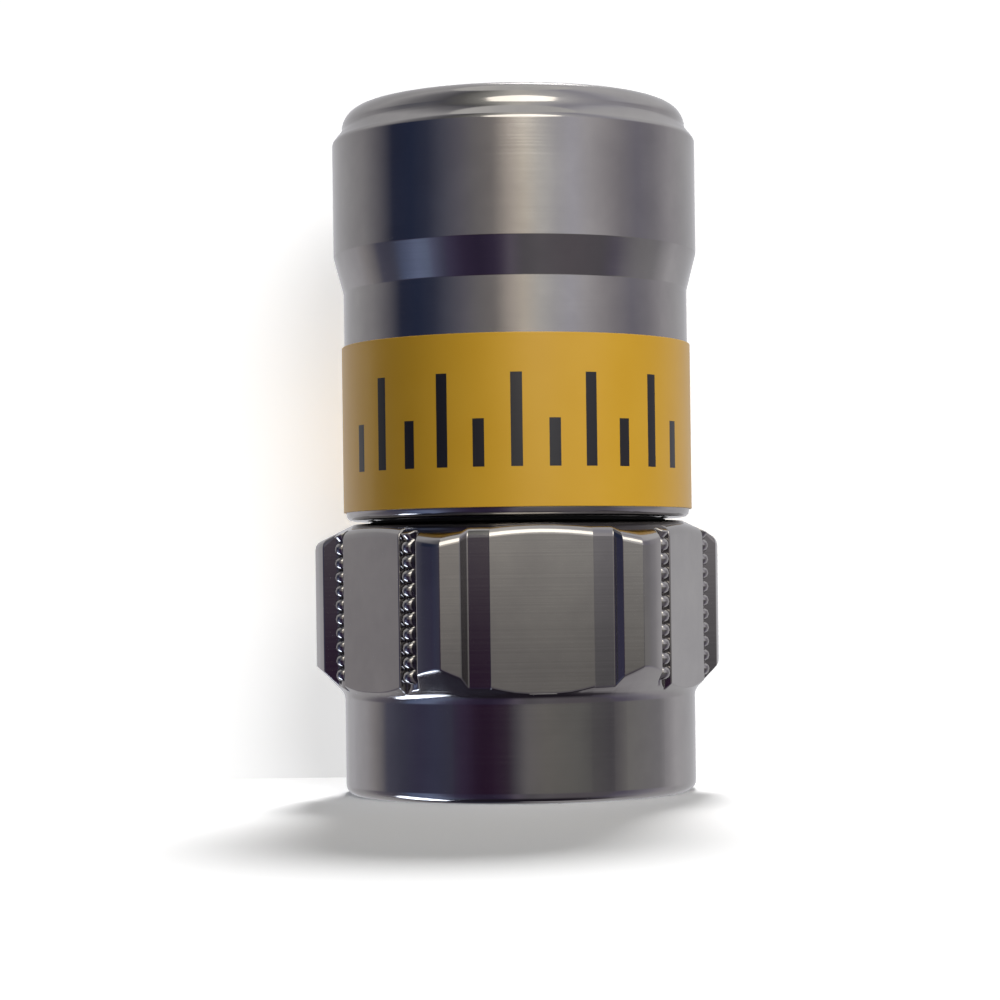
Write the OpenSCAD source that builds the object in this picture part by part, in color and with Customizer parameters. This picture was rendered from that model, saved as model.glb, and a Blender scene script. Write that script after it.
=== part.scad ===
// Compression F connector plug for thin 75 ohm coaxial cable, in millimetres.
// Z is the cable axis. The nut's open mouth lies on z = 0 and the cable enters at the top.
// The shell is drawn closed: pushed forward over the body, with its front edge at the nut.

/* [Cable] */
// Diameter of the cable's outer jacket
jacket_d = 6.9; // [6.4:0.1:7.1]
// Diameter of the foam round the cable's inner conductor
foam_d = 4.9; // [4.6:0.05:5]
// Room on each side where the jacket passes
jacket_clear = 0.15; // [0.1:0.05:0.25]
// Room on each side where the foam slides into the post
foam_clear = 0.05; // [0.02:0.01:0.1]
// Room on each side round the jacket inside the body
chamber_clear = 0.4; // [0.3:0.05:0.5]

/* [Coupling nut] */
// Width across the nut's flats
nut_af = 11; // [10.9:0.1:11.3]
// Diameter over the nut's corners
corner_d = 12.5; // [12.2:0.1:12.6]
// Length of the whole nut
nut_h = 8.25; // [7.5:0.05:9]
// Angle of the hexagon about the axis
nut_turn = 7; // [0:1:60]
// Diameter of the smooth skirt at the nut's mouth
skirt_d = 10.77; // [10.5:0.05:10.9]
// Length of the smooth skirt
skirt_h = 3.08; // [1.5:0.1:3.6]
// Radius of the skirt's outer edge at the mouth
skirt_round = 0.3; // [0.1:0.05:0.45]
// Radius of the hollow corner where the skirt meets the hexagon's lead-in
skirt_fillet = 0.2; // [0.1:0.05:0.5]
// Slope of the cone from the skirt up to the corners, from level
front_slope = 45; // [35:1:55]
// Slope of the nut's back cone, from level
back_slope = 26; // [15:1:30]
// Diameter where the back cone meets the nut's flat back
back_d = 10.16; // [9.9:0.02:10.3]
// Outer diameter of the thread in the nut (3/8 inch)
thread_d = 9.525; // [9.3:0.025:9.6]
// Length of the threaded wall, from the mouth
thread_h = 5; // [3.5:0.1:5.5]
// Thickness of the inward lip behind the post's flange
lip_h = 0.59; // [0.4:0.01:0.9]
// How far the lip reaches in behind the flange
lip_hold = 0.35; // [0.2:0.05:0.4]
// Gap round the flange inside the nut
flange_gap = 0.3; // [0.2:0.05:0.4]
// Length of the slope from the thread in to that gap
relief_h = 0.15; // [0.1:0.05:0.3]
// Width of the lead-in at the mouth, on each side
mouth_chamfer = 0.25; // [0.1:0.05:0.3]

/* [Grip flutes] */
// Width of the smooth middle of each flat
flat_w = 3.04; // [2.6:0.02:3.4]
// How far the smooth flutes' round floor lies inside the edge of the flat
flute_sink = 0.02; // [0.01:0.01:0.1]
// Width of each corner rib, measured out at the corner
rib_w = 1.2; // [0.9:0.05:1.5]
// Lean of each rib's sides
rib_lean = 17; // [5:1:25]
// Spacing of the serrations in the flutes beside every other flat
grip_pitch = 0.42; // [0.3:0.01:0.8]
// Height of each serration
grip_h = 0.19; // [0.1:0.01:0.25]
// How far the serrations' crests lie below the flat
grip_sink = 0.06; // [0.02:0.01:0.15]
// How far the ribs and the rest reach in past the serrations' roots
root_sink = 0.3; // [0.1:0.05:0.5]

/* [Post] */
// Thickness of the post's flange
flange_h = 1.15; // [0.8:0.05:1.4]
// Wall of the post's thin shank
post_wall = 0.35; // [0.25:0.01:0.4]
// How far the press seat stands out from the shank
seat_step = 0.25; // [0.15:0.01:0.35]
// Length of the press seat behind the flange
seat_h = 3.5; // [2.5:0.1:5]
// How far the post's tail stops short of the body's nose
tail_back = 0.9; // [0.3:0.1:2]
// How far a barb stands out from the shank
barb_step = 0.22; // [0.1:0.01:0.3]
// Length of one barb
barb_h = 0.95; // [0.6:0.05:1.2]
// Number of barbs at the post's tail
barb_count = 2; // [1:1:3]

/* [Connector body] */
// Wall of the neck that the nut turns on
neck_wall = 0.81; // [0.6:0.01:0.9]
// Wall of the body round the jacket
body_wall = 0.7; // [0.5:0.01:0.9]
// Length of the tapered gripping nose
nose_h = 1.4; // [1.2:0.1:2]
// Wall of the nose at its tip
nose_wall = 0.25; // [0.15:0.01:0.3]
// How far the nose reaches into the grip ring while the shell is closed
nose_reach = 1.1; // [0.6:0.1:1.4]

/* [Compression shell] */
// Length of the plain barrel, from its front edge to the taper
barrel_h = 6.97; // [6:0.05:9]
// Wall of the barrel
barrel_wall = 0.68; // [0.5:0.01:0.9]
// Radius of the barrel's front edge
front_round = 0.22; // [0.1:0.02:0.3]
// Length of the taper up to the collar
taper_h = 1.13; // [0.4:0.05:2]
// Length of the collar's straight outside
collar_h = 3.38; // [2.5:0.05:5]
// Wall of the collar
collar_wall = 0.58; // [0.45:0.01:0.7]
// How much wider the collar's bore is than the barrel's, on each side
bore_step = 0.395; // [0.3:0.005:0.5]
// Length of the chamfer behind the collar
chamfer_h = 0.4; // [0.2:0.05:0.6]
// Width of that chamfer, on each side
chamfer_w = 0.27; // [0.15:0.01:0.35]
// Length of the short foot between the chamfer and the rolled rim
rim_foot_h = 0.1; // [0.05:0.05:0.3]
// How far the rolled rim starts inside the chamfer's edge
rim_foot_step = 0.03; // [0.01:0.01:0.1]
// Outer radius of the rolled rim's section
rim_round = 0.65; // [0.4:0.05:0.7]
// Thickness of the rolled rim
rim_h = 0.6; // [0.4:0.05:0.7]
// Diameter of the opening inside the rolled rim
rim_bore_d = 8.3; // [7.8:0.1:8.8]
// Radius of the rim's inner edge
rim_inner_round = 0.25; // [0.1:0.05:0.35]

/* [Grip ring and seals] */
// Length of the grip ring
grip_ring_h = 3.3; // [2.6:0.1:3.8]
// Length of the rubber cable seal
cable_seal_h = 1.1; // [0.7:0.1:1.4]
// Play along the axis between the grip ring and the collar's step
ring_play = 0.1; // [0.05:0.05:0.3]
// Width of the grip ring's flat front edge
ring_edge_w = 0.15; // [0.1:0.05:0.3]
// How much steeper the grip ring's flare is than the body's nose, in degrees
flare_lead = 7; // [3:1:12]
// Gap between the grip ring's flare and the tip of the body's nose
nose_clear = 0.08; // [0.05:0.01:0.15]
// Thickness of the nut seal's round section
ring_section = 0.8; // [0.6:0.05:0.9]

/* [Size label] */
// Height of the tape
label_h = 5.05; // [3:0.05:5.6]
// Distance from the barrel's front edge to the tape
label_inset = 0.25; // [0.22:0.01:0.6]
// Thickness of the tape
tape_t = 0.08; // [0.05:0.01:0.15]
// Thickness of the tape where its end laps over its start
lap_t = 0.16; // [0.1:0.01:0.3]
// Angle covered by the lapped end of the tape
lap_angle = 32; // [10:1:60]

/* [Running fits] */
// Gap along the axis where the nut's lip runs behind the flange
end_play = 0.05; // [0.03:0.01:0.1]
// Room on each side where the nut turns on the neck
turn_clear = 0.05; // [0.03:0.01:0.08]
// Room on each side where the shell slides on the body
slide_clear = 0.05; // [0.03:0.01:0.08]
// Gap between the closed shell and the nut
shell_gap = 0.12; // [0.08:0.01:0.3]
// Gap between the nut's flat back and the body's shoulder
shoulder_gap = 0.15; // [0.1:0.01:0.3]
// Room round each seal and ring in its seat
seat_clear = 0.03; // [0.02:0.01:0.05]
// Amount by which the post's seat is larger than the body's bore, on each side
press_bite = 0.01; // [0.005:0.005:0.02]

/* [Hidden] */

$fn = 96;
eps = 0.01;
arc_steps = 6;

nickel = [0.58, 0.57, 0.57];
acetal = [0.88, 0.87, 0.82];
black_rubber = [0.07, 0.07, 0.08];
yellow_tape = [0.82, 0.62, 0.15];

// Post, radii
post_bore_r = foam_d / 2 + foam_clear;
shank_r = post_bore_r + post_wall;
seat_r = shank_r + seat_step;
tail_r = shank_r - post_wall / 2;

// Body, radii
seat_bore_r = seat_r - press_bite;
neck_r = seat_bore_r + neck_wall;
chamber_r = jacket_d / 2 + chamber_clear;
body_r = chamber_r + body_wall;
entry_r = jacket_d / 2 + jacket_clear;
nose_r = entry_r + nose_wall;

// Nut seal, in the corner between the neck and the body's shoulder
shoulder_z = nut_h + shoulder_gap;
ring_r = neck_r + seat_clear + ring_section / 2;
ring_z = shoulder_z - seat_clear - ring_section / 2;

// Nut, from its outside in; its lip holds the post's flange
corner_r = corner_d / 2;
skirt_r = skirt_d / 2;
back_r = back_d / 2;
thread_r = thread_d / 2;
corner_z0 = skirt_h + (corner_r - skirt_r) * tan(front_slope);
corner_z1 = nut_h - (corner_r - back_r) * tan(back_slope);
counterbore_r = ring_r + ring_section / 2 + seat_clear;
counterbore_z = ring_z - ring_section / 2 - seat_clear;
lip_r = neck_r + turn_clear;
lip_z = counterbore_z - lip_h;
flange_r = lip_r + lip_hold;
relief_r = flange_r + flange_gap;
flange_z = lip_z - end_play;
contact_z = flange_z - flange_h;
chamber_z = flange_z + seat_h;

// Flutes beside the flats, and the serrations' crests and roots as distances from the axis
flute_r = norm([nut_af / 2, flat_w / 2]) - flute_sink;
grip_crest_y = nut_af / 2 - grip_sink;
grip_root_y = grip_crest_y - grip_h;
grip_rows = floor((nut_h - skirt_h) / grip_pitch);
core_r = grip_root_y - root_sink / 2;
rib_root_r = grip_root_y - root_sink;

// Both flutes and the flat between them, out to the middle of the ribs' sides
flutes_w = nut_af * tan(30) - rib_w;

// Shell, from its front edge back to its rim
shell_z = nut_h + shell_gap;
shell_bore_r = body_r + slide_clear;
shell_r = shell_bore_r + barrel_wall;
collar_bore_r = shell_bore_r + bore_step;
collar_r = collar_bore_r + collar_wall;
taper_z = shell_z + barrel_h;
taper_z1 = taper_z + taper_h;
chamfer_z = taper_z1 + collar_h;
rim_foot_z = chamfer_z + chamfer_h + rim_foot_h;
plug_h = rim_foot_z + rim_round;
rim_z = plug_h - rim_h;
rim_bore_r = rim_bore_d / 2;
neck_out_r = collar_r - chamfer_w;
rim_r = neck_out_r - rim_foot_step;

// Rings stacked in the collar, from the rolled rim forward
ring_out_r = collar_bore_r - seat_clear;
cable_seal_z = rim_z - cable_seal_h;
grip_ring_z = cable_seal_z - grip_ring_h;
collar_step_z1 = grip_ring_z - ring_play;
collar_step_z = collar_step_z1 - bore_step;

// The body's nose reaches into the grip ring, and the post's tail stops inside the nose
nose_z = grip_ring_z + nose_reach;
nose_z0 = nose_z - nose_h;
tail_z = nose_z - tail_back;

// The grip ring's flare clears the nose at its tip and opens towards its mouth
flare_slope = tan(atan((body_r - nose_r) / nose_h) + flare_lead);
flare_tip_r = nose_r + nose_clear;
flare_r = min(flare_tip_r + nose_reach * flare_slope, ring_out_r - ring_edge_w);
flare_z0 = max(nose_z - (flare_r - flare_tip_r) / flare_slope, grip_ring_z + eps);
flare_z1 = nose_z + (flare_tip_r - entry_r) / flare_slope;

// Label
label_z = shell_z + label_inset;
label_r = shell_r + tape_t;

// Points on an arc about [x, y], from angle a0 to angle a1
function arc(x, y, r, a0, a1) = [
    for (i = [0 : arc_steps])
        let (a = a0 + (a1 - a0) * i / arc_steps)
        [x + r * cos(a), y + r * sin(a)]
];

// Turned solid from its outline of [radius, height] points
module turned(outline) {
    rotate_extrude()
        polygon(outline);
}

// Hollow inside the nut: lead-in, thread, relief, lip and counterbore
module nut_hollow() {
    turned([
        [0, -eps],
        [thread_r + mouth_chamfer + eps, -eps],
        [thread_r, mouth_chamfer],
        [thread_r, thread_h],
        [relief_r, thread_h + relief_h],
        [relief_r, lip_z],
        [lip_r, lip_z],
        [lip_r, counterbore_z],
        [counterbore_r, counterbore_z],
        [counterbore_r, nut_h + eps],
        [0, nut_h + eps]
    ]);
}

// Outline that the bar is turned to before its flats show: skirt, lead-in, corners, back cone
module turned_blank() {
    fillet_a = 90 - front_slope;
    fillet_z = skirt_h - skirt_fillet * tan(fillet_a / 2);
    turned(concat(
        [[0, 0]],
        arc(skirt_r - skirt_round, skirt_round, skirt_round, -90, 0),
        arc(skirt_r + skirt_fillet, fillet_z, skirt_fillet, 180, 180 - fillet_a),
        [
            [corner_r, corner_z0],
            [corner_r, corner_z1],
            [back_r, nut_h],
            [0, nut_h]
        ]
    ));
}

// Hexagon as long as the nut, with corners on X and flats facing Y
module hexagon() {
    cylinder(r = nut_af / 2 / cos(30), h = nut_h, $fn = 6);
}

// Smooth middles of three pairs of opposite flats
module flat_slabs() {
    for (i = [0 : 2])
        rotate([0, 0, 60 * i])
            translate([-flat_w / 2, -corner_r, 0])
                cube([flat_w, 2 * corner_r, nut_h]);
}

// One corner rib, wider towards the axis
module corner_rib() {
    rib_root_w = rib_w + 2 * (corner_r - rib_root_r) * tan(rib_lean);
    linear_extrude(nut_h)
        polygon([
            [rib_root_r, -rib_root_w / 2],
            [corner_r + eps, -rib_w / 2],
            [corner_r + eps, rib_w / 2],
            [rib_root_r, rib_root_w / 2]
        ]);
}

// Round floor of the smooth flutes, from rib to rib behind one flat
module smooth_flutes(w) {
    intersection() {
        cylinder(r = flute_r, h = nut_h);
        translate([-w / 2, 0, 0])
            cube([w, corner_r, nut_h]);
    }
}

// Bar behind one flat, from rib to rib, with its outer side serrated
module serrated_flutes(w) {
    translate([w / 2, 0, 0])
        rotate([0, -90, 0])
            linear_extrude(w)
                polygon(concat(
                    [[0, 0], [0, grip_root_y], [skirt_h, grip_root_y]],
                    [
                        for (i = [0 : grip_rows - 1])
                            let (z = skirt_h + i * grip_pitch)
                            each [
                                [z + grip_pitch / 2, grip_crest_y],
                                [z + grip_pitch, grip_root_y]
                            ]
                    ],
                    [[nut_h, grip_root_y], [nut_h, 0]]
                ));
}

module coupling_nut() {
    color(nickel)
        rotate([0, 0, nut_turn])
            difference() {
                intersection() {
                    turned_blank();
                    hexagon();
                    union() {
                        cylinder(r = core_r, h = nut_h);
                        flat_slabs();
                        for (i = [0 : 5])
                            rotate([0, 0, 60 * i])
                                corner_rib();
                        for (i = [0 : 2])
                            rotate([0, 0, 120 * i]) {
                                serrated_flutes(flutes_w);
                                rotate([0, 0, 60])
                                    smooth_flutes(flutes_w);
                            }
                    }
                }
                nut_hollow();
            }
}

module post() {
    barb_r = shank_r + barb_step;
    barb_z = tail_z - barb_count * barb_h;
    edge = 0.1;
    color(nickel)
        turned(concat(
            [
                [post_bore_r, contact_z],
                [flange_r - edge, contact_z],
                [flange_r, contact_z + edge],
                [flange_r, flange_z],
                [seat_r, flange_z],
                [seat_r, chamber_z - edge],
                [shank_r, chamber_z + seat_step - edge]
            ],
            [
                for (i = [0 : barb_count - 1])
                    let (z = barb_z + i * barb_h, last = i == barb_count - 1)
                    each [
                        [shank_r, z],
                        [barb_r, z + eps],
                        if (!last) [shank_r, z + barb_h - eps]
                    ]
            ],
            [
                [tail_r, tail_z],
                [post_bore_r, tail_z]
            ]
        ));
}

module connector_body() {
    edge = 0.12;
    color(nickel)
        turned([
            [seat_bore_r, flange_z],
            [neck_r, flange_z],
            [neck_r, shoulder_z],
            [body_r - edge, shoulder_z],
            [body_r, shoulder_z + edge],
            [body_r, nose_z0],
            [nose_r, nose_z],
            [entry_r, nose_z],
            [chamber_r, nose_z0],
            [chamber_r, chamber_z + (chamber_r - seat_bore_r) / 2],
            [seat_bore_r, chamber_z]
        ]);
}

module nut_seal() {
    color(black_rubber)
        translate([0, 0, ring_z])
            rotate_extrude()
                translate([ring_r, 0])
                    circle(d = ring_section);
}

module compression_shell() {
    edge = 0.1;
    rim_c = rim_r - rim_round;
    color(nickel)
        turned(concat(
            [[shell_bore_r + edge, shell_z]],
            arc(shell_r - front_round, shell_z + front_round, front_round, -90, 0),
            [
                [shell_r, taper_z],
                [collar_r, taper_z1],
                [collar_r, chamfer_z],
                [neck_out_r, chamfer_z + chamfer_h]
            ],
            arc(rim_c, rim_foot_z, rim_round, 0, 90),
            arc(rim_bore_r + rim_inner_round, plug_h - rim_inner_round, rim_inner_round, 90, 180),
            [
                [rim_bore_r, rim_z + edge],
                [rim_bore_r + edge, rim_z],
                [collar_bore_r, rim_z],
                [collar_bore_r, collar_step_z1],
                [shell_bore_r, collar_step_z],
                [shell_bore_r, shell_z + edge]
            ]
        ));
}

module grip_ring() {
    edge = 0.12;
    color(acetal)
        turned([
            [flare_r, grip_ring_z],
            [ring_out_r - edge, grip_ring_z],
            [ring_out_r, grip_ring_z + edge],
            [ring_out_r, cable_seal_z],
            [entry_r, cable_seal_z],
            [entry_r, flare_z1],
            [flare_r, flare_z0]
        ]);
}

// Rubber ring with two soft lips and a shallow groove between them
module cable_seal() {
    lip = 0.3;
    mid_z = (cable_seal_z + rim_z) / 2;
    color(black_rubber)
        turned([
            [entry_r, cable_seal_z],
            [ring_out_r, cable_seal_z],
            [ring_out_r, rim_z],
            [entry_r + lip, rim_z],
            [entry_r, rim_z - lip / 2],
            [entry_r, mid_z + lip / 2],
            [entry_r + lip / 2, mid_z],
            [entry_r, mid_z - lip / 2]
        ]);
}

// Tape once round the barrel, with its end lapped over its start at the back
module size_label() {
    color(yellow_tape) {
        turned([
            [shell_r, label_z],
            [label_r, label_z],
            [label_r, label_z + label_h],
            [shell_r, label_z + label_h]
        ]);
        rotate([0, 0, 90 - lap_angle / 2])
            rotate_extrude(angle = lap_angle)
                translate([shell_r + tape_t / 2, label_z])
                    square([lap_t - tape_t / 2, label_h]);
    }
}

coupling_nut();
post();
connector_body();
nut_seal();
compression_shell();
grip_ring();
cable_seal();
size_label();
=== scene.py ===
"""Looks of a compression F connector plug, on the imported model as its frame.

Every length below is in millimetres and is turned to metres where a mesh is made.
The cable's axis is Z, and the nut's open mouth stands on the floor at z = 0.
"""
import math

import bmesh
import bpy
from mathutils import Matrix


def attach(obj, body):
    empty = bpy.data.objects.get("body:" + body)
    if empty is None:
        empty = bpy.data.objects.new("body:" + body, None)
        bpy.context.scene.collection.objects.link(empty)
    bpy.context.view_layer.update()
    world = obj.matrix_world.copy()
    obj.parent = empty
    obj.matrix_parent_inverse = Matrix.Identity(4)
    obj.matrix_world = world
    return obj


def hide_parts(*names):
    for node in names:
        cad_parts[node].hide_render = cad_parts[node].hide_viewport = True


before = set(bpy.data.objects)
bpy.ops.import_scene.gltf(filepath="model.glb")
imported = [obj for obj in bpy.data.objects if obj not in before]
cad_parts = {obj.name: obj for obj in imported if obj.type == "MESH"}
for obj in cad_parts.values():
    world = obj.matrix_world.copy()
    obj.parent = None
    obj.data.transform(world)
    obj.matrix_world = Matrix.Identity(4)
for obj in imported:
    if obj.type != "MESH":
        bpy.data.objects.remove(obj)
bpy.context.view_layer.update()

MM = 0.001

# Round parts are spun in this many steps
SPIN_STEPS = 240
# Steps in the arc that rounds one corner of an outline
ARC_STEPS = 3
# Vertices closer than this are one
MERGE_DIST = 0.001

# Coupling nut
NUT_AF = 11.0
CORNER_R = 6.25
NUT_H = 8.25
NUT_TURN = 7.0
SKIRT_R = 5.385
SKIRT_H = 3.08
FRONT_SLOPE = 45.0
BACK_SLOPE = 26.0
BACK_R = 5.08
THREAD_R = 4.7625
THREAD_H = 5.0
THREAD_PITCH = 25.4 / 32
MOUTH_CHAMFER = 0.25
FLAT_W = 3.04
FLUTE_R = 5.686
RIB_W = 1.2
RIB_LEAN = 17.0
GRIP_PITCH = 0.42
GRIP_ROOT = 5.27
GRIP_TIP = 5.56
GRIP_NOTCH = 5.31
GRIP_MIDDLE = 1.78
GRIP_W = 0.44
GRIP_EDGE = 1.48
RIB_SHOULDER = 5.575
LIP_Z = 6.95
LIP_R = 3.95
FLANGE_R = 4.3
RELIEF_R = 4.6
COUNTERBORE_Z = 7.54
COUNTERBORE_R = 4.79
MOUTH_ROUND = 0.3
SKIRT_FILLET = 0.42
BACK_ROUND = 0.2
EDGE_ROUND = 0.035
# Places of the points that keep a flat level, out from its middle
FLAT_POINTS = (0, 0.4, 0.8, 1.15)
# Mesh rows over one pitch of the serrations, as shares of it
ROW_SHARES = (0, 0.1, 0.28, 0.5, 0.72, 0.9)
# Rows at the back that are fitted to the back cone
BACK_ROWS = 10

# Post and connector body
CONTACT_Z = 5.75
FLANGE_Z = 6.9
POST_BORE_R = 2.5
SHANK_R = 2.85
SEAT_R = 3.1
CHAMBER_Z = 10.4
CHAMBER_R = 3.85
TAIL_Z = 16.2
BARB_H = 0.95
BARB_STEP = 0.22
NECK_R = 3.9
SHOULDER_Z = 8.4
BODY_R = 4.55
ENTRY_R = 3.6
NOSE_R = 3.85
NOSE_H = 1.4
NOSE_Z = 17.1

# Compression shell
SHELL_Z = 8.37
SHELL_BORE_R = 4.6
SHELL_R = 5.28
TAPER_Z = 15.34
TAPER_H = 1.13
COLLAR_R = 5.575
COLLAR_BORE_R = 4.995
CHAMFER_Z = 19.85
CHAMFER_H = 0.4
CHAMFER_W = 0.27
PLUG_H = 21.0
RIM_ROUND = 0.65
RIM_Z = 20.4
RIM_BORE_R = 4.15
RIM_INNER_ROUND = 0.25
RIM_FOOT_STEP = 0.03
BORE_STEP = 0.395
RING_PLAY = 0.1

# Grip ring and seals
RING_OUT_R = 4.965
GRIP_RING_Z = 16.0
CABLE_SEAL_Z = 19.3
FLARE_R = 4.663
FLARE_Z = 16.3
FLARE_TIP_Z = 17.55
SEAL_RING_R = 4.33
SEAL_RING_Z = 7.97
SEAL_SECTION = 0.8

# Label
LABEL_Z = 8.62
LABEL_H = 5.05
TAPE_T = 0.08
LAP_ANGLE = 32.0
# Printed graduation: first and last height over the label's edge, and its bars
PRINT_LOW = 1.17
PRINT_HIGH = 3.9
SHORT_BAR_H = 1.4
BAR_W = 0.34
BAR_ANGLE = 24.0
PRINT_REACH = 66.0


def arc(x, y, radius, start, end, steps=6):
    """Points on an arc about (x, y), with angles in degrees."""
    angles = [math.radians(start + (end - start) * i / steps) for i in range(steps + 1)]
    return [(x + radius * math.cos(a), y + radius * math.sin(a)) for a in angles]


def rounded(corners, closed=True):
    """Outline with its corners rounded. A corner is (x, y) or (x, y, radius), and a radius
    shrinks where a side is too short for it. Each round starts and ends with a short straight
    piece, so that smooth shading stays off the flat faces beside it."""
    points = []
    count = len(corners)
    for i, corner in enumerate(corners):
        x, y = corner[:2]
        radius = corner[2] if len(corner) > 2 else 0
        if radius == 0 or (not closed and i in (0, count - 1)):
            points.append((x, y))
            continue
        before = corners[i - 1]
        after = corners[(i + 1) % count]
        ax, ay = before[0] - x, before[1] - y
        bx, by = after[0] - x, after[1] - y
        la, lb = math.hypot(ax, ay), math.hypot(bx, by)
        ax, ay, bx, by = ax / la, ay / la, bx / lb, by / lb
        half = math.acos(max(-1, min(1, ax * bx + ay * by))) / 2
        reach = min(radius / math.tan(half), 0.38 * la, 0.38 * lb)
        straight = 1.25 * reach
        points.append((x + ax * straight, y + ay * straight))
        for step in range(ARC_STEPS + 1):
            t = step / ARC_STEPS
            from_a, from_b = (1 - t) ** 2, t ** 2
            points.append((
                x + reach * (ax * from_a + bx * from_b),
                y + reach * (ay * from_a + by * from_b),
            ))
        points.append((x + bx * straight, y + by * straight))
    return points


def finish_mesh(bm, name, sharp=40):
    """Merges doubles, turns faces outwards, smooths what isn't sharp and links the object."""
    bmesh.ops.remove_doubles(bm, verts=bm.verts, dist=MERGE_DIST * MM)
    bmesh.ops.recalc_face_normals(bm, faces=bm.faces)
    limit = math.radians(sharp)
    for face in bm.faces:
        face.smooth = True
    for edge in bm.edges:
        edge.smooth = edge.calc_face_angle(0) < limit
    mesh = bpy.data.meshes.new(name)
    bm.to_mesh(mesh)
    bm.free()
    piece = bpy.data.objects.new(name, mesh)
    bpy.context.scene.collection.objects.link(piece)
    return piece


def outline_edges(bm, outline, closed=True):
    """Vertices and edges of an outline of (radius, height) points, on the XZ plane."""
    verts = [bm.verts.new((r * MM, 0, z * MM)) for r, z in outline]
    pairs = list(zip(verts, verts[1:]))
    if closed:
        pairs.append((verts[-1], verts[0]))
    return verts + [bm.edges.new(pair) for pair in pairs]


def turned(name, outline):
    """Turned piece from its closed outline of (radius, height) points."""
    bm = bmesh.new()
    bmesh.ops.spin(
        bm, geom=outline_edges(bm, outline), cent=(0, 0, 0), axis=(0, 0, 1),
        angle=math.tau, steps=SPIN_STEPS, use_merge=True,
    )
    return finish_mesh(bm, name)


# ---------------------------------------------------------------- coupling nut

def rib_side(level):
    """Point (along the flat, distance from the axis) where a rib's side reaches a level."""
    lean = math.tan(math.radians(RIB_LEAN))
    cos30, sin30 = math.cos(math.radians(30)), 0.5
    reach = RIB_W / 2 + CORNER_R * lean
    along = (level - reach * sin30) / (cos30 - lean * sin30)
    across = reach - along * lean
    return along * sin30 - across * cos30, level


def rib_crest():
    """Corner of the hexagon, on the crest of a rib, as seen from either of its flats."""
    return CORNER_R * 0.5, CORNER_R * math.cos(math.radians(30))


def smooth_section():
    """Half of a side with smooth flutes, from the middle of its flat to the corner, as
    points (along the flat, distance from the axis)."""
    apothem = NUT_AF / 2
    edge = FLAT_W / 2
    start = math.sqrt(FLUTE_R ** 2 - edge ** 2)
    foot = rib_side(start)
    for _ in range(4):
        foot = rib_side(math.sqrt(FLUTE_R ** 2 - foot[0] ** 2))
    middle = (edge + foot[0]) / 2
    land = rib_side(apothem)
    corner = math.sqrt(CORNER_R ** 2 - apothem ** 2)
    return rounded([
        *[(u, apothem) for u in FLAT_POINTS],
        (edge, apothem, 0.04),
        (edge, start, 0.03),
        (middle, math.sqrt(FLUTE_R ** 2 - middle ** 2)),
        (foot[0], foot[1], 0.05),
        (land[0], apothem, 0.05),
        ((land[0] + corner) / 2, apothem),
        (corner, apothem, 0.06),
        rib_crest(),
    ], closed=False)


def serrated_section(rise):
    """The same for a side with serrated flutes, where rise is 1 on the crest of a tooth and
    0 in the notch below it. Each tooth is a small dome in the middle of the flute."""
    apothem = NUT_AF / 2
    level = GRIP_NOTCH + (GRIP_TIP - GRIP_NOTCH) * rise
    shoulder = rib_side(RIB_SHOULDER)
    crest = rib_crest()
    dome = []
    for share in (-1, -0.85, -0.5, 0, 0.5, 0.85, 1):
        height = (level - GRIP_ROOT) * math.sqrt(1 - share ** 2)
        dome.append((GRIP_MIDDLE + GRIP_W / 2 * share, GRIP_ROOT + height))
    run = crest[0] - shoulder[0]
    fall = RIB_SHOULDER - crest[1]
    back = [
        (shoulder[0] + run * t, RIB_SHOULDER - fall * t ** 1.4) for t in (0.3, 0.55, 0.8)
    ]
    return rounded([
        *[(u, apothem) for u in FLAT_POINTS],
        (GRIP_EDGE, apothem, 0.04),
        (GRIP_EDGE + 0.04, GRIP_ROOT, 0.03),
        *dome,
        (*rib_side(GRIP_ROOT), 0.05),
        (*shoulder, 0.06),
        *back,
        crest,
    ], closed=False)


def tooth(z):
    """Rise of the serration at a height, from 0 in a notch to 1 on a rounded crest."""
    first = SKIRT_H + GRIP_PITCH
    if z < first:
        return 0
    phase = ((z - first) / GRIP_PITCH) % 1
    return math.sqrt(1 - (2 * phase - 1) ** 2)


def half_section(serrated, z):
    return serrated_section(tooth(z)) if serrated else smooth_section()


def grip_levels():
    """Heights of the mesh rows over the serrations: six to a pitch."""
    first = SKIRT_H + GRIP_PITCH
    levels = [first + GRIP_PITCH * (i + f) for i in range(10) for f in ROW_SHARES]
    return levels + [first + GRIP_PITCH * (10 + f) for f in ROW_SHARES[:4]]


def bend(a, corner, b):
    """Rounds the corner between two points of a section."""
    points = []
    for t in (0, 0.33, 0.67, 1):
        points.append(tuple(
            (1 - t) ** 2 * a[i] + 2 * t * (1 - t) * corner[i] + t * t * b[i] for i in (0, 1)
        ))
    return points


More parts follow.
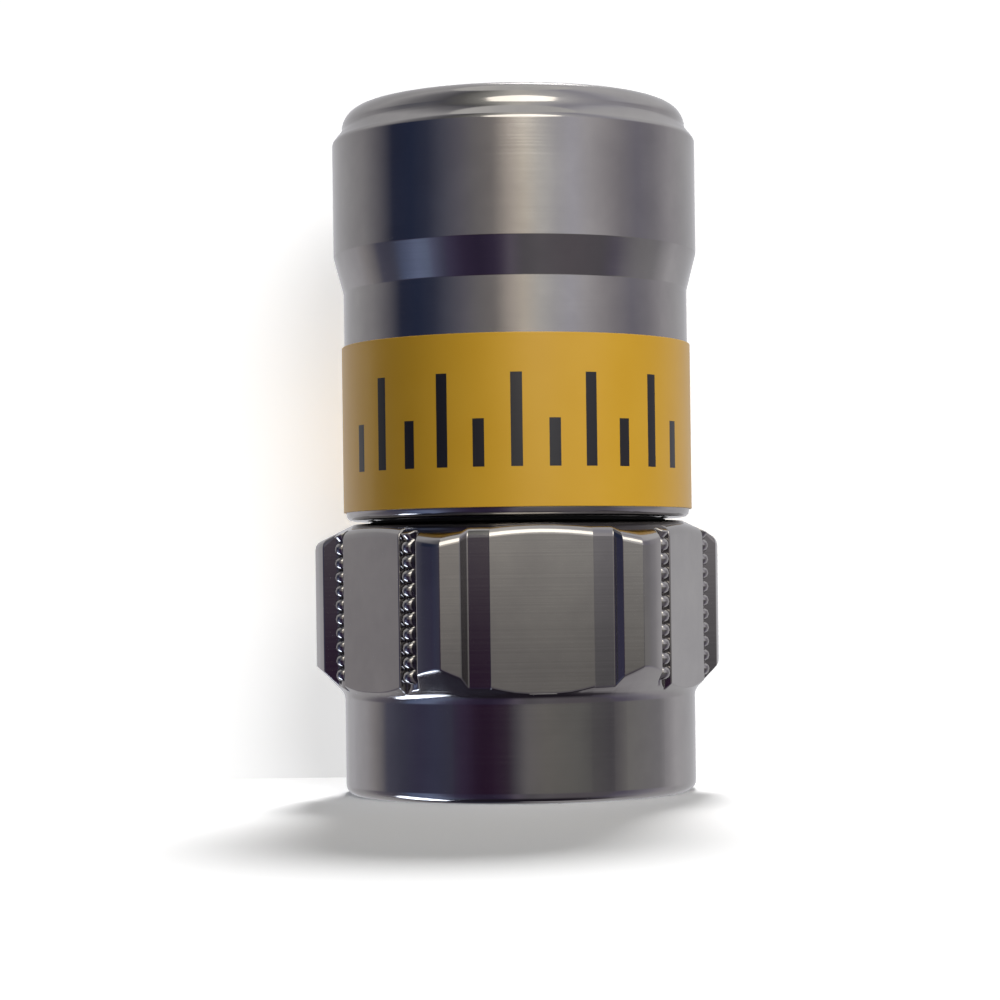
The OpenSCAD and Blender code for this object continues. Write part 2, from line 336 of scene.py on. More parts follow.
def nut_column(column, serrated, levels):
    """Outside of the nut at one place of its section, from the skirt's foot to its back:
    a list of (radius, angle from the flat's middle, height)."""
    soft = EDGE_ROUND
    flute = serrated and GRIP_EDGE + 0.02 < half_section(True, NUT_H)[column][0] < 2.3
    brow = soft if flute else BACK_ROUND
    front = math.tan(math.radians(FRONT_SLOPE))
    back = math.tan(math.radians(BACK_SLOPE))

    def plan(z):
        u, h = half_section(serrated, z)[column]
        return math.hypot(u, h), math.atan2(u, h)

    low_r, angle = plan(SKIRT_H)
    fillet = SKIRT_FILLET
    turn = math.radians(90 - FRONT_SLOPE)
    fillet_z = SKIRT_H - fillet * math.tan(turn / 2)
    profile = arc(SKIRT_R - MOUTH_ROUND, MOUTH_ROUND, MOUTH_ROUND, -90, 0, 5)
    profile += [(SKIRT_R, 0.34), (SKIRT_R, 1.2), (SKIRT_R, 2.2), (SKIRT_R, fillet_z - 0.06)]
    profile += arc(SKIRT_R + fillet, fillet_z, fillet, 180, 180 - (90 - FRONT_SLOPE), 4)
    foot_r, foot_z = profile[-1]
    cross_z = SKIRT_H + (low_r - SKIRT_R) * front
    cross_z = max(cross_z, foot_z + 0.02)
    reach = min(soft, (cross_z - foot_z) * 0.6)
    cone_end = (low_r - reach * 0.7, cross_z - reach * 0.7)
    for t in (0.4, 0.85):
        profile.append((foot_r + (cone_end[0] - foot_r) * t, foot_z + (cone_end[1] - foot_z) * t))
    profile += bend(cone_end, (low_r, cross_z), (low_r, cross_z + soft))
    points = [(r, angle, z) for r, z in profile]

    # Rows between the two cones: level over the serrations, and fitted to the cones elsewhere
    first_fixed = levels[2 * len(ROW_SHARES)]
    last_fixed = levels[-BACK_ROWS]
    start_z = cross_z + 1.6 * soft
    top_r = plan(levels[-1])[0]
    top_z = NUT_H - (top_r - BACK_R) * back
    end_z = top_z - brow - 0.02
    for level in levels:
        z = level
        if not flute and level < first_fixed:
            share = (level - levels[0]) / (first_fixed - levels[0])
            z = start_z + (first_fixed - start_z) * share
        if level > last_fixed:
            share = (level - last_fixed) / (levels[-1] - last_fixed)
            z = last_fixed + (end_z - last_fixed) * share
        radius, angle_here = plan(z)
        limit = SKIRT_R + (z - SKIRT_H) / front
        points.append((min(radius, limit), angle_here, z))
    cone_dir = (math.cos(math.radians(BACK_SLOPE)), math.sin(math.radians(BACK_SLOPE)))
    cone_start = (top_r - brow * cone_dir[0], top_z + brow * cone_dir[1])
    upper = bend((top_r, top_z - brow), (top_r, top_z), cone_start)
    upper += [
        (cone_start[0] + (BACK_R - cone_start[0]) * t, cone_start[1] + (NUT_H - cone_start[1]) * t)
        for t in (0.15, 0.5, 0.85)
    ]
    top_angle = plan(levels[-1])[1]
    return points + [(r, top_angle, z) for r, z in upper]


def nut_inside():
    """Rest of the nut's section, from its back edge down the hollow to its mouth."""
    return rounded([
        (BACK_R, NUT_H, 0.05),
        (COUNTERBORE_R, NUT_H, 0.06),
        (COUNTERBORE_R, COUNTERBORE_Z, 0.06),
        (LIP_R, COUNTERBORE_Z, 0.05),
        (LIP_R, LIP_Z, 0.05),
        (RELIEF_R, LIP_Z, 0.06),
        (RELIEF_R, THREAD_H + 0.15),
        (THREAD_R, THREAD_H),
        (THREAD_R, MOUTH_CHAMFER, 0.05),
        (THREAD_R + MOUTH_CHAMFER, 0, 0.04),
        (SKIRT_R - 0.32, 0),
    ], closed=False)


def coupling_nut():
    """The nut's skin is one grid, rolled round the axis and closed on itself."""
    levels = grip_levels()
    columns = []
    for side in range(6):
        serrated = side % 2 == 1
        half = len(half_section(serrated, NUT_H))
        middle = math.radians(-90 + NUT_TURN + 60 * side)
        outside = [nut_column(i, serrated, levels) for i in range(half)]
        for i in range(half - 2, 0, -1):
            columns.append([(r, middle - a, z) for r, a, z in outside[i]])
        for i in range(half):
            columns.append([(r, middle + a, z) for r, a, z in outside[i]])
    inside = nut_inside()
    rows = len(columns[0]) + len(inside)
    bm = bmesh.new()
    bmesh.ops.create_grid(bm, x_segments=len(columns), y_segments=rows, size=1)
    for vert in bm.verts:
        column = columns[round((vert.co.x + 1) / 2 * len(columns)) % len(columns)]
        row = round((vert.co.y + 1) / 2 * rows) % rows
        if row < len(column):
            radius, angle, z = column[row]
        else:
            radius, z = inside[row - len(column)]
            angle = column[0][1]
        vert.co = (radius * MM * math.cos(angle), radius * MM * math.sin(angle), z * MM)
    return finish_mesh(bm, "nut_skin", sharp=50)


def nut_thread():
    """Right-hand ridge of the nut's thread, 32 turns to the inch."""
    root_w = THREAD_PITCH * 7 / 8
    crest_w = THREAD_PITCH / 4
    crest_r = THREAD_R - 0.39
    start = 0.2
    section = rounded([
        (THREAD_R + 0.02, start),
        (crest_r, start + (root_w - crest_w) / 2, 0.03),
        (crest_r, start + (root_w + crest_w) / 2, 0.03),
        (THREAD_R + 0.02, start + root_w),
    ])
    turns = (THREAD_H - start - root_w) / THREAD_PITCH
    steps = round(96 * turns)
    bm = bmesh.new()
    bmesh.ops.spin(
        bm, geom=outline_edges(bm, section), cent=(0, 0, 0), axis=(0, 0, 1),
        dvec=(0, 0, THREAD_PITCH * turns / steps * MM), angle=math.tau * turns, steps=steps,
    )
    bmesh.ops.holes_fill(bm, edges=[e for e in bm.edges if e.is_boundary])
    return finish_mesh(bm, "nut_thread")


# ---------------------------------------------------------------- turned parts

def compression_shell():
    foot_z = PLUG_H - RIM_ROUND
    neck_r = COLLAR_R - CHAMFER_W
    rim_c = neck_r - RIM_FOOT_STEP - RIM_ROUND
    outline = rounded([
        (SHELL_BORE_R, SHELL_Z, 0.1),
        (SHELL_R, SHELL_Z, 0.22),
        (SHELL_R, TAPER_Z, 0.12),
        (COLLAR_R, TAPER_Z + TAPER_H, 0.12),
        (COLLAR_R, CHAMFER_Z + 0.08, 0.22),
        (neck_r, CHAMFER_Z + CHAMFER_H, 0.04),
    ], closed=False)[1:]
    outline += arc(rim_c, foot_z, RIM_ROUND, 0, 90, 10)
    inner = RIM_INNER_ROUND
    outline += arc(RIM_BORE_R + inner, PLUG_H - inner, inner, 90, 180, 6)
    outline += rounded([
        (RIM_BORE_R, RIM_Z + 0.1),
        (RIM_BORE_R, RIM_Z, 0.06),
        (COLLAR_BORE_R, RIM_Z),
        (COLLAR_BORE_R, GRIP_RING_Z - RING_PLAY),
        (SHELL_BORE_R, GRIP_RING_Z - RING_PLAY - BORE_STEP),
        (SHELL_BORE_R, SHELL_Z, 0.1),
        (SHELL_R, SHELL_Z),
    ], closed=False)[1:-1]
    return turned("shell_skin", outline)


def connector_post():
    outline = [
        (POST_BORE_R, CONTACT_Z, 0.06),
        (FLANGE_R, CONTACT_Z, 0.12),
        (FLANGE_R, FLANGE_Z, 0.06),
        (SEAT_R, FLANGE_Z),
        (SEAT_R, CHAMBER_Z - 0.1, 0.05),
        (SHANK_R, CHAMBER_Z + 0.15),
    ]
    for i in (2, 1):
        z = TAIL_Z - i * BARB_H
        outline += [(SHANK_R, z), (SHANK_R + BARB_STEP, z + 0.01, 0.03)]
        if i > 1:
            outline.append((SHANK_R, z + BARB_H - 0.01))
    outline += [(SHANK_R - 0.175, TAIL_Z, 0.05), (POST_BORE_R, TAIL_Z, 0.04)]
    return turned("post_skin", rounded(outline))


def body_sleeve():
    return turned("body_skin", rounded([
        (SEAT_R - 0.01, FLANGE_Z),
        (NECK_R, FLANGE_Z, 0.06),
        (NECK_R, SHOULDER_Z),
        (BODY_R, SHOULDER_Z, 0.12),
        (BODY_R, NOSE_Z - NOSE_H, 0.1),
        (NOSE_R, NOSE_Z, 0.05),
        (ENTRY_R, NOSE_Z, 0.04),
        (CHAMBER_R, NOSE_Z - NOSE_H, 0.08),
        (CHAMBER_R, CHAMBER_Z + 0.38, 0.08),
        (SEAT_R - 0.01, CHAMBER_Z),
    ]))


def nut_seal():
    section = arc(SEAL_RING_R, SEAL_RING_Z, SEAL_SECTION / 2, 0, 360, 24)[:-1]
    return turned("nut_seal_ring", section)


def grip_ring():
    return turned("grip_ring_skin", rounded([
        (FLARE_R, GRIP_RING_Z, 0.03),
        (RING_OUT_R, GRIP_RING_Z, 0.1),
        (RING_OUT_R, CABLE_SEAL_Z),
        (ENTRY_R, CABLE_SEAL_Z, 0.06),
        (ENTRY_R, FLARE_TIP_Z, 0.1),
        (FLARE_R, FLARE_Z, 0.05),
    ]))


def cable_seal():
    """Rubber ring with two soft lips."""
    middle = (CABLE_SEAL_Z + RIM_Z) / 2
    return turned("cable_seal_skin", rounded([
        (ENTRY_R, CABLE_SEAL_Z, 0.12),
        (RING_OUT_R, CABLE_SEAL_Z),
        (RING_OUT_R, RIM_Z - 0.01),
        (ENTRY_R + 0.3, RIM_Z - 0.01, 0.1),
        (ENTRY_R, RIM_Z - 0.2, 0.1),
        (ENTRY_R, middle + 0.15, 0.08),
        (ENTRY_R + 0.15, middle, 0.08),
        (ENTRY_R, middle - 0.15, 0.08),
    ]))


def size_label():
    """Tape once round the barrel, with its end lapped over its start at the back."""
    outer = SHELL_R + TAPE_T
    bm = bmesh.new()
    section = rounded([
        (SHELL_R - 0.01, LABEL_Z),
        (outer, LABEL_Z, 0.02),
        (outer, LABEL_Z + LABEL_H, 0.02),
        (SHELL_R - 0.01, LABEL_Z + LABEL_H),
    ])
    bmesh.ops.spin(
        bm, geom=outline_edges(bm, section), cent=(0, 0, 0), axis=(0, 0, 1),
        angle=math.tau, steps=SPIN_STEPS, use_merge=True,
    )
    step = 360 / SPIN_STEPS
    for vert in bm.verts:
        radius = math.hypot(vert.co.x, vert.co.y) / MM
        turn = round((math.degrees(math.atan2(vert.co.y, vert.co.x)) - 90) / step) * step
        turn = (turn + 180) % 360 - 180
        ramp = (turn + LAP_ANGLE / 2) / 5
        lift = TAPE_T * max(0, min(1, ramp)) if turn <= LAP_ANGLE / 2 else 0
        if LAP_ANGLE / 2 < turn <= LAP_ANGLE / 2 + step:
            turn = LAP_ANGLE / 2 + 0.15
        if radius < SHELL_R:
            lift = 0
        angle = math.radians(turn + 90)
        vert.co.x = (radius + lift) * MM * math.cos(angle)
        vert.co.y = (radius + lift) * MM * math.sin(angle)
    return finish_mesh(bm, "label_tape")


# ---------------------------------------------------------------- materials

def colour(code):
    """sRGB hex as the linear colour that a shader takes."""
    parts = [int(code[i:i + 2], 16) / 255 for i in (1, 3, 5)]
    linear = [p / 12.92 if p <= 0.04045 else ((p + 0.055) / 1.055) ** 2.4 for p in parts]
    return (*linear, 1)


def add_node(tree, kind, inputs=None, **settings):
    """Adds a node. Inputs are given by name or place, as values or as sockets to link from."""
    new = tree.nodes.new("ShaderNode" + kind)
    for name, value in settings.items():
        setattr(new, name, value)
    for name, value in (inputs or {}).items():
        socket = new.inputs[name]
        if isinstance(value, bpy.types.NodeSocket):
            tree.links.new(value, socket)
        else:
            socket.default_value = value
    return new


def new_material(name):
    """Empty material, its tree and its surface socket."""
    material = bpy.data.materials.new(name)
    material.use_nodes = True
    tree = material.node_tree
    tree.nodes.clear()
    output = add_node(tree, "OutputMaterial")
    return material, tree, output.inputs["Surface"]


def in_millimetres(tree):
    """Object coordinates scaled so that one unit is a millimetre."""
    where = add_node(tree, "TexCoord").outputs["Object"]
    scale = (1 / MM, 1 / MM, 1 / MM)
    return add_node(tree, "VectorMath", {0: where, 1: scale}, operation="MULTIPLY").outputs[0]


def math_node(tree, operation, a, b=0.0):
    return add_node(tree, "Math", {0: a, 1: b}, operation=operation).outputs[0]


def satin_nickel():
    """Nickel-plated brass, turned and barrel-finished: a soft grey mirror that smears along the
    cut, with tool marks running round the part and a faint warm and cool mottle."""
    material, tree, surface = new_material("satin_nickel_plate")
    where = in_millimetres(tree)
    split = add_node(tree, "SeparateXYZ", {0: where})
    mottle = add_node(tree, "TexNoise", {
        "Vector": where, "Scale": 0.55, "Detail": 3.0, "Roughness": 0.6,
    })
    tone = add_node(tree, "ValToRGB", {0: mottle.outputs[0]})
    tone.color_ramp.elements[0].position = 0.36
    tone.color_ramp.elements[0].color = colour("#999694")
    tone.color_ramp.elements[1].position = 0.66
    tone.color_ramp.elements[1].color = colour("#a19e9b")
    # Tool marks about 0.09 mm apart, coarser than a real finishing feed so that they show
    marks = add_node(
        tree, "TexNoise", {"W": split.outputs[2], "Scale": 11.0, "Detail": 4.0, "Roughness": 0.7},
        noise_dimensions="1D",
    )
    rough = add_node(
        tree, "MapRange", {0: marks.outputs[0], 1: 0.3, 2: 0.7, 3: 0.08, 4: 0.14},
    )
    bump = add_node(
        tree, "Bump", {"Strength": 0.04, "Distance": 0.00001, "Height": marks.outputs[0]},
    )
    shader = add_node(tree, "BsdfPrincipled", {
        "Base Color": tone.outputs[0], "Metallic": 1.0, "Roughness": rough.outputs[0],
        "Normal": bump.outputs[0],
    })
    tree.links.new(shader.outputs[0], surface)
    return material


def moulded_acetal():
    """Natural acetal, injection moulded: milky off-white with a waxy, slightly soft shine."""
    material, tree, surface = new_material("natural_acetal")
    where = in_millimetres(tree)
    cloud = add_node(tree, "TexNoise", {"Vector": where, "Scale": 0.8, "Detail": 2.0})
    tone = add_node(tree, "ValToRGB", {0: cloud.outputs[0]})
    tone.color_ramp.elements[0].color = colour("#d9d5c6")
    tone.color_ramp.elements[1].color = colour("#e8e5d9")
    grain = add_node(tree, "TexNoise", {"Vector": where, "Scale": 14.0, "Detail": 3.0})
    bump = add_node(tree, "Bump", {"Strength": 0.15, "Distance": 0.00001, "Height": grain.outputs[0]})
    shader = add_node(tree, "BsdfPrincipled", {
        "Base Color": tone.outputs[0], "Roughness": 0.42, "IOR": 1.48,
        "Subsurface Weight": 0.25, "Subsurface Scale": 0.0006, "Normal": bump.outputs[0],
    })
    tree.links.new(shader.outputs[0], surface)
    return material


def seal_rubber():
    """Black EPDM rubber, moulded: nearly black, dull, with a fine matt grain."""
    material, tree, surface = new_material("black_epdm_rubber")
    where = in_millimetres(tree)
    grain = add_node(tree, "TexNoise", {"Vector": where, "Scale": 18.0, "Detail": 4.0})
    tone = add_node(tree, "ValToRGB", {0: grain.outputs[0]})
    tone.color_ramp.elements[0].color = colour("#141415")
    tone.color_ramp.elements[1].color = colour("#232324")
    bump = add_node(tree, "Bump", {"Strength": 0.3, "Distance": 0.00002, "Height": grain.outputs[0]})
    shader = add_node(tree, "BsdfPrincipled", {
        "Base Color": tone.outputs[0], "Roughness": 0.7, "IOR": 1.5, "Normal": bump.outputs[0],
    })
    tree.links.new(shader.outputs[0], surface)
    return material


def bars(tree, turn, height, pitch, width, low, high, offset=0.0):
    """1 on upright bars at even angles between two heights, and 0 elsewhere."""
    place = math_node(tree, "ADD", math_node(tree, "DIVIDE", turn, pitch), 0.5 + offset)
    share = math_node(tree, "FRACT", place)
    place = math_node(tree, "ABSOLUTE", math_node(tree, "SUBTRACT", share, 0.5))
    across = math_node(tree, "LESS_THAN", place, width / pitch / 2)
    above = math_node(tree, "GREATER_THAN", height, low)
    below = math_node(tree, "LESS_THAN", height, high)
    return math_node(tree, "MULTIPLY", across, math_node(tree, "MULTIPLY", above, below))


def printed_tape():
    """Laminated label tape, thermal printed: amber yellow under a clear, smooth satin film, with
    a plain black graduation where a size would be printed."""
    material, tree, surface = new_material("laminated_yellow_tape")
    where = in_millimetres(tree)
    split = add_node(tree, "SeparateXYZ", {0: where})
    back = math_node(tree, "MULTIPLY", split.outputs[1], -1.0)
    turn = math_node(tree, "DEGREES", math_node(tree, "ARCTAN2", split.outputs[0], back))
    height = split.outputs[2]
    low = LABEL_Z + PRINT_LOW
    high = LABEL_Z + PRINT_HIGH
    bar_turn = BAR_W / (SHELL_R * math.tau / 360)
    long_bars = bars(tree, turn, height, BAR_ANGLE, bar_turn, low, high)
    short_bars = bars(tree, turn, height, BAR_ANGLE, bar_turn, low, low + SHORT_BAR_H, 0.5)
    either = math_node(tree, "MAXIMUM", long_bars, short_bars)
    in_front = math_node(tree, "LESS_THAN", math_node(tree, "ABSOLUTE", turn), PRINT_REACH)
    ink = math_node(tree, "MULTIPLY", either, in_front)
    cloud = add_node(tree, "TexNoise", {"Vector": where, "Scale": 0.7, "Detail": 2.0})
    tone = add_node(tree, "ValToRGB", {0: cloud.outputs[0]})
    tone.color_ramp.elements[0].color = colour("#d7a325")
    tone.color_ramp.elements[1].color = colour("#deac33")
    printed = add_node(tree, "Mix", {0: ink, 6: tone.outputs[0], 7: colour("#17151a")}, data_type="RGBA")
    film = add_node(tree, "TexNoise", {"Vector": where, "Scale": 5.0, "Detail": 2.0})
    bump = add_node(tree, "Bump", {"Strength": 0.06, "Distance": 0.00001, "Height": film.outputs[0]})
    shader = add_node(tree, "BsdfPrincipled", {
        "Base Color": printed.outputs[2], "Roughness": 0.32, "IOR": 1.5, "Normal": bump.outputs[0],
    })
    tree.links.new(shader.outputs[0], surface)
    return material


# ---------------------------------------------------------------- pieces

def dress(piece, body, material, nodes):
    """Puts a finished piece on its body, in place of CAD nodes."""
    piece.data.materials.append(material)
    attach(piece, body)
    if nodes:
        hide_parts(*nodes)


nickel = satin_nickel()
acetal = moulded_acetal()
rubber = seal_rubber()
tape = printed_tape()

dress(coupling_nut(), "nut", nickel, ["coupling_nut"])
dress(nut_thread(), "nut", nickel, [])
dress(compression_shell(), "shell", nickel, ["compression_shell"])
dress(connector_post(), "plug", nickel, ["post"])
dress(body_sleeve(), "plug", nickel, ["connector_body"])
dress(nut_seal(), "plug", rubber, ["nut_seal"])
dress(grip_ring(), "shell", acetal, ["grip_ring"])
dress(cable_seal(), "shell", rubber, ["cable_seal"])
dress(size_label(), "shell", tape, ["size_label"])


# ---------------------------------------------------------------- stage

BACKDROP_Y = 6.5
BACKDROP_TOP = 42.0
PAPER_REACH = 200.0
TENT_REACH = 150.0
TENT_LOW = -500.0
TENT_TOP = 420.0
TENT_STEPS = 144
BACKDROP_REACH = 30.0
CARD_R = 16.0
CARD_AWAY = 100.0
CARD_Z = 3.0


def seen_or_mirrored(tree):
    """1 on rays that come from the camera, a mirror or glass, and 0 on all others."""
    path = add_node(tree, "LightPath")
    seen = math_node(tree, "MAXIMUM", path.outputs["Is Camera Ray"], path.outputs["Is Glossy Ray"])
    return math_node(tree, "MAXIMUM", seen, path.outputs["Is Transmission Ray"])


def pale_paper(name, lift, one_sided=False):
    """Matt white paper. The lift is a white of its own where it is seen or mirrored, so that it
    stays white round the object and still takes the object's shadow. One-sided paper can be
    looked through from behind."""
    material, tree, surface = new_material(name)
    seen = seen_or_mirrored(tree)
    paper = add_node(tree, "BsdfDiffuse", {"Color": colour("#f8f8f8")})
    own = math_node(tree, "MULTIPLY", seen, lift)
    white = add_node(tree, "Emission", {"Color": (1, 1, 1, 1), "Strength": own})
    mixed = add_node(tree, "AddShader", {0: paper.outputs[0], 1: white.outputs[0]})
    if one_sided:
        back = add_node(tree, "NewGeometry").outputs["Backfacing"]
        clear = add_node(tree, "BsdfTransparent")
        mixed = add_node(tree, "MixShader", {0: back, 1: mixed.outputs[0], 2: clear.outputs[0]})
    tree.links.new(mixed.outputs[0], surface)
    return material


def stage_mesh(bm, name, material):
    """Object for a stage piece, linked to the scene."""
    mesh = bpy.data.meshes.new(name)
    bm.to_mesh(mesh)
    bm.free()
    mesh.materials.append(material)
    piece = bpy.data.objects.new(name, mesh)
    bpy.context.scene.collection.objects.link(piece)
    return piece


def stage_plane(name, corners, material):
    bm = bmesh.new()
    bm.faces.new([bm.verts.new([c * MM for c in corner]) for corner in corners])
    plane = stage_mesh(bm, name, material)
    return plane


def only_mirrored(piece):
    """Leaves a stage piece to be seen in the metal alone."""
    piece.visible_camera = False
    piece.visible_diffuse = False
    piece.visible_shadow = False


floor = stage_plane("floor", [
    (-PAPER_REACH, -PAPER_REACH, 0), (PAPER_REACH, -PAPER_REACH, 0),
    (PAPER_REACH, PAPER_REACH, 0), (-PAPER_REACH, PAPER_REACH, 0),
], pale_paper("white_paper", 0.01))
floor.visible_glossy = False
floor.visible_diffuse = False
backdrop = stage_plane("backdrop", [
    (-BACKDROP_REACH, BACKDROP_Y, 0), (BACKDROP_REACH, BACKDROP_Y, 0),
    (BACKDROP_REACH, BACKDROP_Y, BACKDROP_TOP), (-BACKDROP_REACH, BACKDROP_Y, BACKDROP_TOP),
], pale_paper("white_backdrop_paper", 0.42, one_sided=True))
backdrop.visible_shadow = False
backdrop.visible_glossy = False
backdrop.visible_diffuse = False


def tent_stops(tree, place, stops):
    """Colour ramp of painted reflection tones round the tent, from stops of (degrees to the camera's
    right, hex).
    """
    ramp = add_node(tree, "ValToRGB", {0: place})
    ramp.color_ramp.interpolation = "LINEAR"
    ramp.color_ramp.elements.remove(ramp.color_ramp.elements[1])
    for i, (turn, code) in enumerate(stops):
        position = (turn + 180) / 360
        if i == 0:
            element = ramp.color_ramp.elements[0]
            element.position = position
        else:
            element = ramp.color_ramp.elements.new(position)
        element.color = colour(code)
    return ramp.outputs[0]


def make_painted_reflection_tent():
    """Tent round the stage that glows and is seen only in the metal: its tones are painted reflections
    and it lights nothing.
    It has five rows of painted reflection tones: under the roof, above eye level, just below it, towards
    where a table would be mirrored, and straight down, where it paints dark reflection in place of the
    floor."""
    material, tree, surface = new_material("painted_reflection_tent")
    material.cycles.emission_sampling = "NONE"
    where = in_millimetres(tree)
    split = add_node(tree, "SeparateXYZ", {0: where})
    front = math_node(tree, "MULTIPLY", split.outputs[1], -1.0)
    turn = math_node(tree, "DEGREES", math_node(tree, "ARCTAN2", split.outputs[0], front))
    place = add_node(tree, "MapRange", {0: turn, 1: -180.0, 2: 180.0, 3: 0.0, 4: 1.0}).outputs[0]
    # Painted reflection tones for each row, by angle round the part
    top = tent_stops(tree, place, [
        (-180, "#c4c4c8"), (-130, "#c8c8cc"), (-110, "#cfcfd3"), (-92, "#b3b3b8"),
        (-76, "#96969c"), (-61, "#85858c"), (-48, "#6e6e74"), (-35, "#80807f"),
        (-23, "#a5a5a3"), (-11, "#cfcfcb"), (1, "#f4f2ec"), (13, "#f4f2ec"),
        (25, "#e4e4e6"), (38, "#dbdbe0"), (51, "#c4c4ce"), (65, "#bcbcc8"),
        (80, "#d0d0da"), (96, "#dcdce2"), (130, "#e0e0e4"), (180, "#c4c4c8"),
    ])
    high = tent_stops(tree, place, [
        (-180, "#c4c4c8"), (-150, "#c4c4c8"), (-128, "#c0c0c4"), (-108, "#aeadb2"),
        (-92, "#7f7e88"), (-80, "#363c55"),
        (-66, "#333c58"), (-54, "#444a62"), (-44, "#65687a"), (-33, "#7f7e8b"),
        (-23, "#918f93"), (-13, "#9e9a9a"), (-3, "#ddd4cc"), (6, "#fcf3e5"),
        (16, "#ecebe9"), (26, "#dcdce2"), (36, "#dedeea"), (47, "#d8d6dc"),
        (58, "#c3c0c6"), (69, "#aba8b0"), (82, "#9896a4"), (96, "#a3a1ab"),
        (113, "#c3c1c8"), (136, "#c8c8cc"), (180, "#c4c4c8"),
    ])
    low = tent_stops(tree, place, [
        (-180, "#c4c4c8"), (-150, "#c4c4c8"), (-139, "#d0d0d6"), (-118, "#c7c6cc"),
        (-109, "#b1aeb2"), (-100, "#8a8890"), (-96, "#65667a"), (-82, "#535469"),
        (-68, "#4c4a65"), (-56, "#4e506b"), (-45, "#4e4e64"), (-38, "#493c58"),
        (-24, "#37233c"), (-14, "#3e2c44"), (-8, "#463a4c"), (-3, "#62606a"),
        (4, "#858387"), (16, "#888684"), (37, "#80807f"), (48, "#706f72"),
        (60, "#65636a"), (66, "#807e82"), (72, "#999898"), (86, "#9c9b9e"),
        (101, "#9f9ea4"), (119, "#d3d2d8"), (144, "#c8c8cc"), (180, "#c4c4c8"),
    ])
    painted_table_reflection = tent_stops(tree, place, [
        (-180, "#c4c4c8"), (-128, "#bdbcc0"), (-108, "#827e8a"), (-92, "#626174"),
        (-84, "#656a80"), (-78, "#7080a6"), (-66, "#8997be"), (-58, "#8290b2"),
        (-54, "#717697"), (-47, "#5a5c76"), (-44, "#55506e"), (-33, "#443a56"),
        (-23, "#3d344e"), (-13, "#473e58"), (-8, "#5a5268"), (-3, "#787182"),
        (6, "#706e75"), (16, "#7b787f"), (36, "#757078"), (58, "#6f6c74"),
        (69, "#757084"), (82, "#918e9c"), (96, "#a8a6b3"), (113, "#c3c1c8"),
        (136, "#c8c8cc"), (180, "#c4c4c8"),
    ])
    depth = tent_stops(tree, place, [
        (-180, "#6a6a74"), (-150, "#3c3f52"), (-110, "#34323f"), (-60, "#2c2832"),
        (60, "#2c2832"), (100, "#4a464e"), (125, "#b8b6bc"), (150, "#c8c8cc"),
        (180, "#6a6a74"),
    ])
    height = split.outputs[2]
    above = add_node(tree, "MapRange", {0: height, 1: 0.0, 2: 26.0, 3: 0.0, 4: 1.0}).outputs[0]
    below = add_node(tree, "MapRange", {0: height, 1: -16.0, 2: -30.0, 3: 0.0, 4: 1.0}).outputs[0]
    under = add_node(tree, "MapRange", {0: height, 1: -120.0, 2: -260.0, 3: 0.0, 4: 1.0}).outputs[0]
    roof = add_node(tree, "MapRange", {0: height, 1: 70.0, 2: 100.0, 3: 0.0, 4: 1.0}).outputs[0]
    painted_reflection_tone = add_node(tree, "Mix", {0: above, 6: low, 7: high}, data_type="RGBA").outputs[2]
    painted_reflection_tone = add_node(tree, "Mix", {0: roof, 6: painted_reflection_tone, 7: top}, data_type="RGBA").outputs[2]
    painted_reflection_tone = add_node(tree, "Mix", {0: below, 6: painted_reflection_tone, 7: painted_table_reflection}, data_type="RGBA").outputs[2]
    painted_reflection_tone = add_node(tree, "Mix", {0: under, 6: painted_reflection_tone, 7: depth}, data_type="RGBA").outputs[2]
    # The glow is painted reflection: seen only in the metal, it is no lamp
    glow = add_node(tree, "Emission", {"Color": painted_reflection_tone, "Strength": 1.2})
    tree.links.new(glow.outputs[0], surface)
    bm = bmesh.new()
    verts = [bm.verts.new((TENT_REACH * MM, 0, z * MM)) for z in (TENT_LOW, TENT_TOP)]
    edge = bm.edges.new(verts)
    bmesh.ops.spin(
        bm, geom=verts + [edge], cent=(0, 0, 0), axis=(0, 0, 1),
        angle=math.tau, steps=TENT_STEPS, use_merge=True,
    )
    bmesh.ops.holes_fill(bm, edges=[
        e for e in bm.edges if max(v.co.z for v in e.verts) < (TENT_LOW + 1) * MM
    ])
    only_mirrored(stage_mesh(bm, "tent", material))


def painted_highlight_card(name, turn, rise, stretch, tone, strength):
    """Bright oval card that glows only in the metal and lights nothing, a painted highlight, from
    degrees to the camera's right and up. The stretch widens it along its own sides."""
    material, tree, surface = new_material(name)
    material.cycles.emission_sampling = "NONE"
    glow = add_node(tree, "Emission", {"Color": colour(tone), "Strength": strength})
    tree.links.new(glow.outputs[0], surface)
    bm = bmesh.new()
    bmesh.ops.create_circle(bm, cap_ends=True, segments=32, radius=CARD_R * MM)
    bmesh.ops.scale(bm, vec=stretch, verts=bm.verts)
    swing = Matrix.Rotation(math.radians(turn), 4, "Z")
    tilt = Matrix.Rotation(math.radians(90 - rise), 4, "X")
    raised = Matrix.Translation((0, 0, CARD_Z * MM))
    aim = raised @ swing @ tilt @ Matrix.Translation((0, 0, CARD_AWAY * MM))
    bmesh.ops.transform(bm, matrix=aim, verts=bm.verts)
    only_mirrored(stage_mesh(bm, name, material))


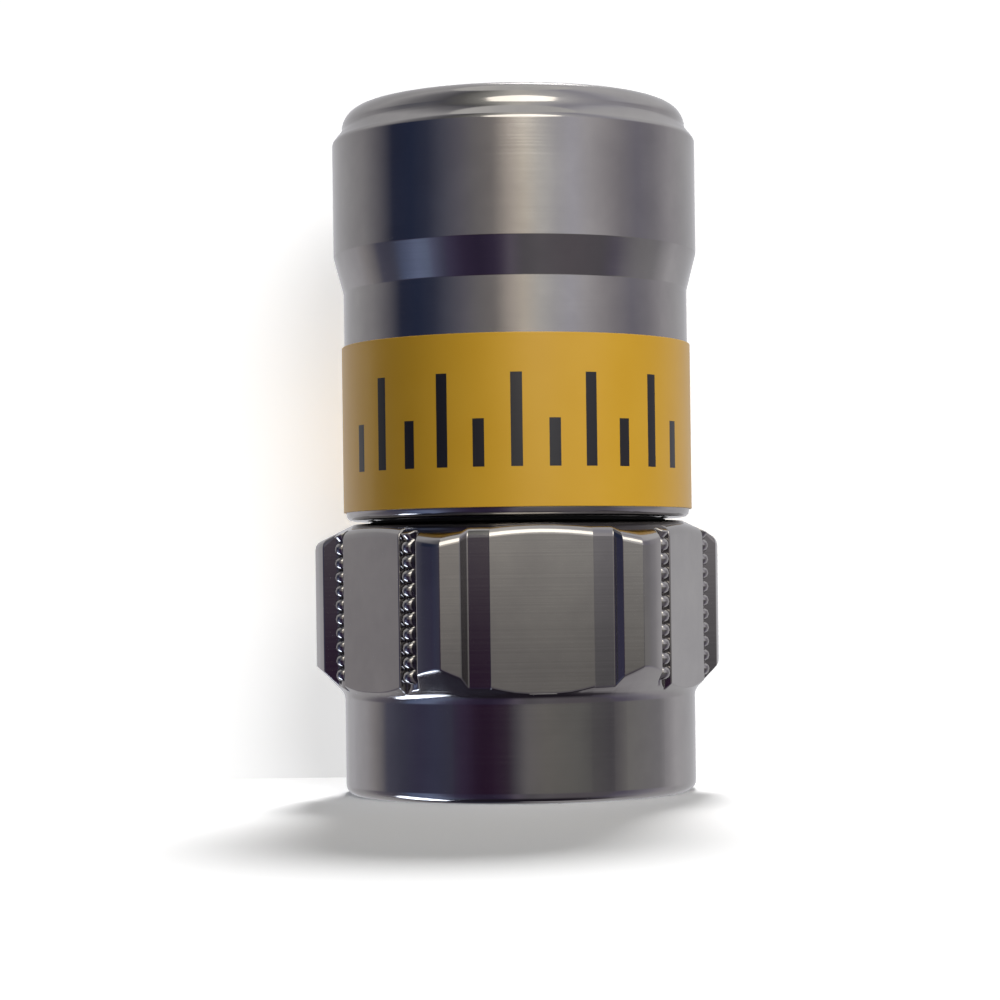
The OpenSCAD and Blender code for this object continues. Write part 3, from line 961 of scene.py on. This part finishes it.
make_painted_reflection_tent()
# Painted highlights: glowing cards seen only in the metal, one low at the left and one high at the front
# right
painted_highlight_card("low_painted_highlight", -92, -47, (1, 1.9, 1), "#dfeaff", 9.0)
painted_highlight_card("high_painted_highlight", 6, 32, (2.4, 1.4, 1), "#fffaf0", 3.2)


def far_lamp(name, turn, rise, spread, strength):
    """Wide lamp a long way off, from degrees to the camera's right and up. Its shadows are as
    soft as its spread, and its light is even over the whole stage."""
    lamp = bpy.data.lights.new(name, "SUN")
    lamp.angle = math.radians(spread)
    lamp.energy = strength
    rig = bpy.data.objects.new(name, lamp)
    bpy.context.scene.collection.objects.link(rig)
    swing = Matrix.Rotation(math.radians(turn), 4, "Z")
    rig.matrix_world = swing @ Matrix.Rotation(math.radians(90 - rise), 4, "X")
    return rig


far_lamp("key_front", 17, 28, 24, 1.3)
far_lamp("key_back", 174, 50, 12, 3.1)
for fill in (far_lamp("side_fill", 50, 15, 30, 1.3), far_lamp("edge_fill", -130, 3, 30, 1.5)):
    fill.visible_glossy = False
    fill.data.use_shadow = False

world = bpy.data.worlds.new("studio")
bpy.context.scene.world = world
world.use_nodes = True
sky = world.node_tree
sky.nodes.clear()
strength = add_node(sky, "MapRange", {0: seen_or_mirrored(sky), 3: 0.05, 4: 1.0}).outputs[0]
background = add_node(sky, "Background", {"Color": (1, 1, 1, 1), "Strength": strength})
add_node(sky, "OutputWorld", {"Surface": background.outputs[0]})

# Camera level with the nut, a hand's length in front of the plug and rolled slightly
EYE_Z = 6.5
EYE_DISTANCE = 82.4
LENS = 96.1
SENSOR_W = 36
SHIFT_RIGHT = -0.0187
SHIFT_UP = 0.08
ROLL = -0.75
camera = bpy.data.cameras.new("camera")
camera.lens = LENS
camera.sensor_width = SENSOR_W
camera.shift_x = SHIFT_RIGHT
camera.shift_y = SHIFT_UP
camera.clip_start = 0.01
rig = bpy.data.objects.new("camera", camera)
bpy.context.scene.collection.objects.link(rig)
rig.matrix_world = (
    Matrix.Translation((0, -EYE_DISTANCE * MM, EYE_Z * MM))
    @ Matrix.Rotation(math.radians(90), 4, "X")
    @ Matrix.Rotation(math.radians(ROLL), 4, "Z")
)
bpy.context.scene.camera = rig
bpy.context.scene.view_settings.view_transform = "Standard"
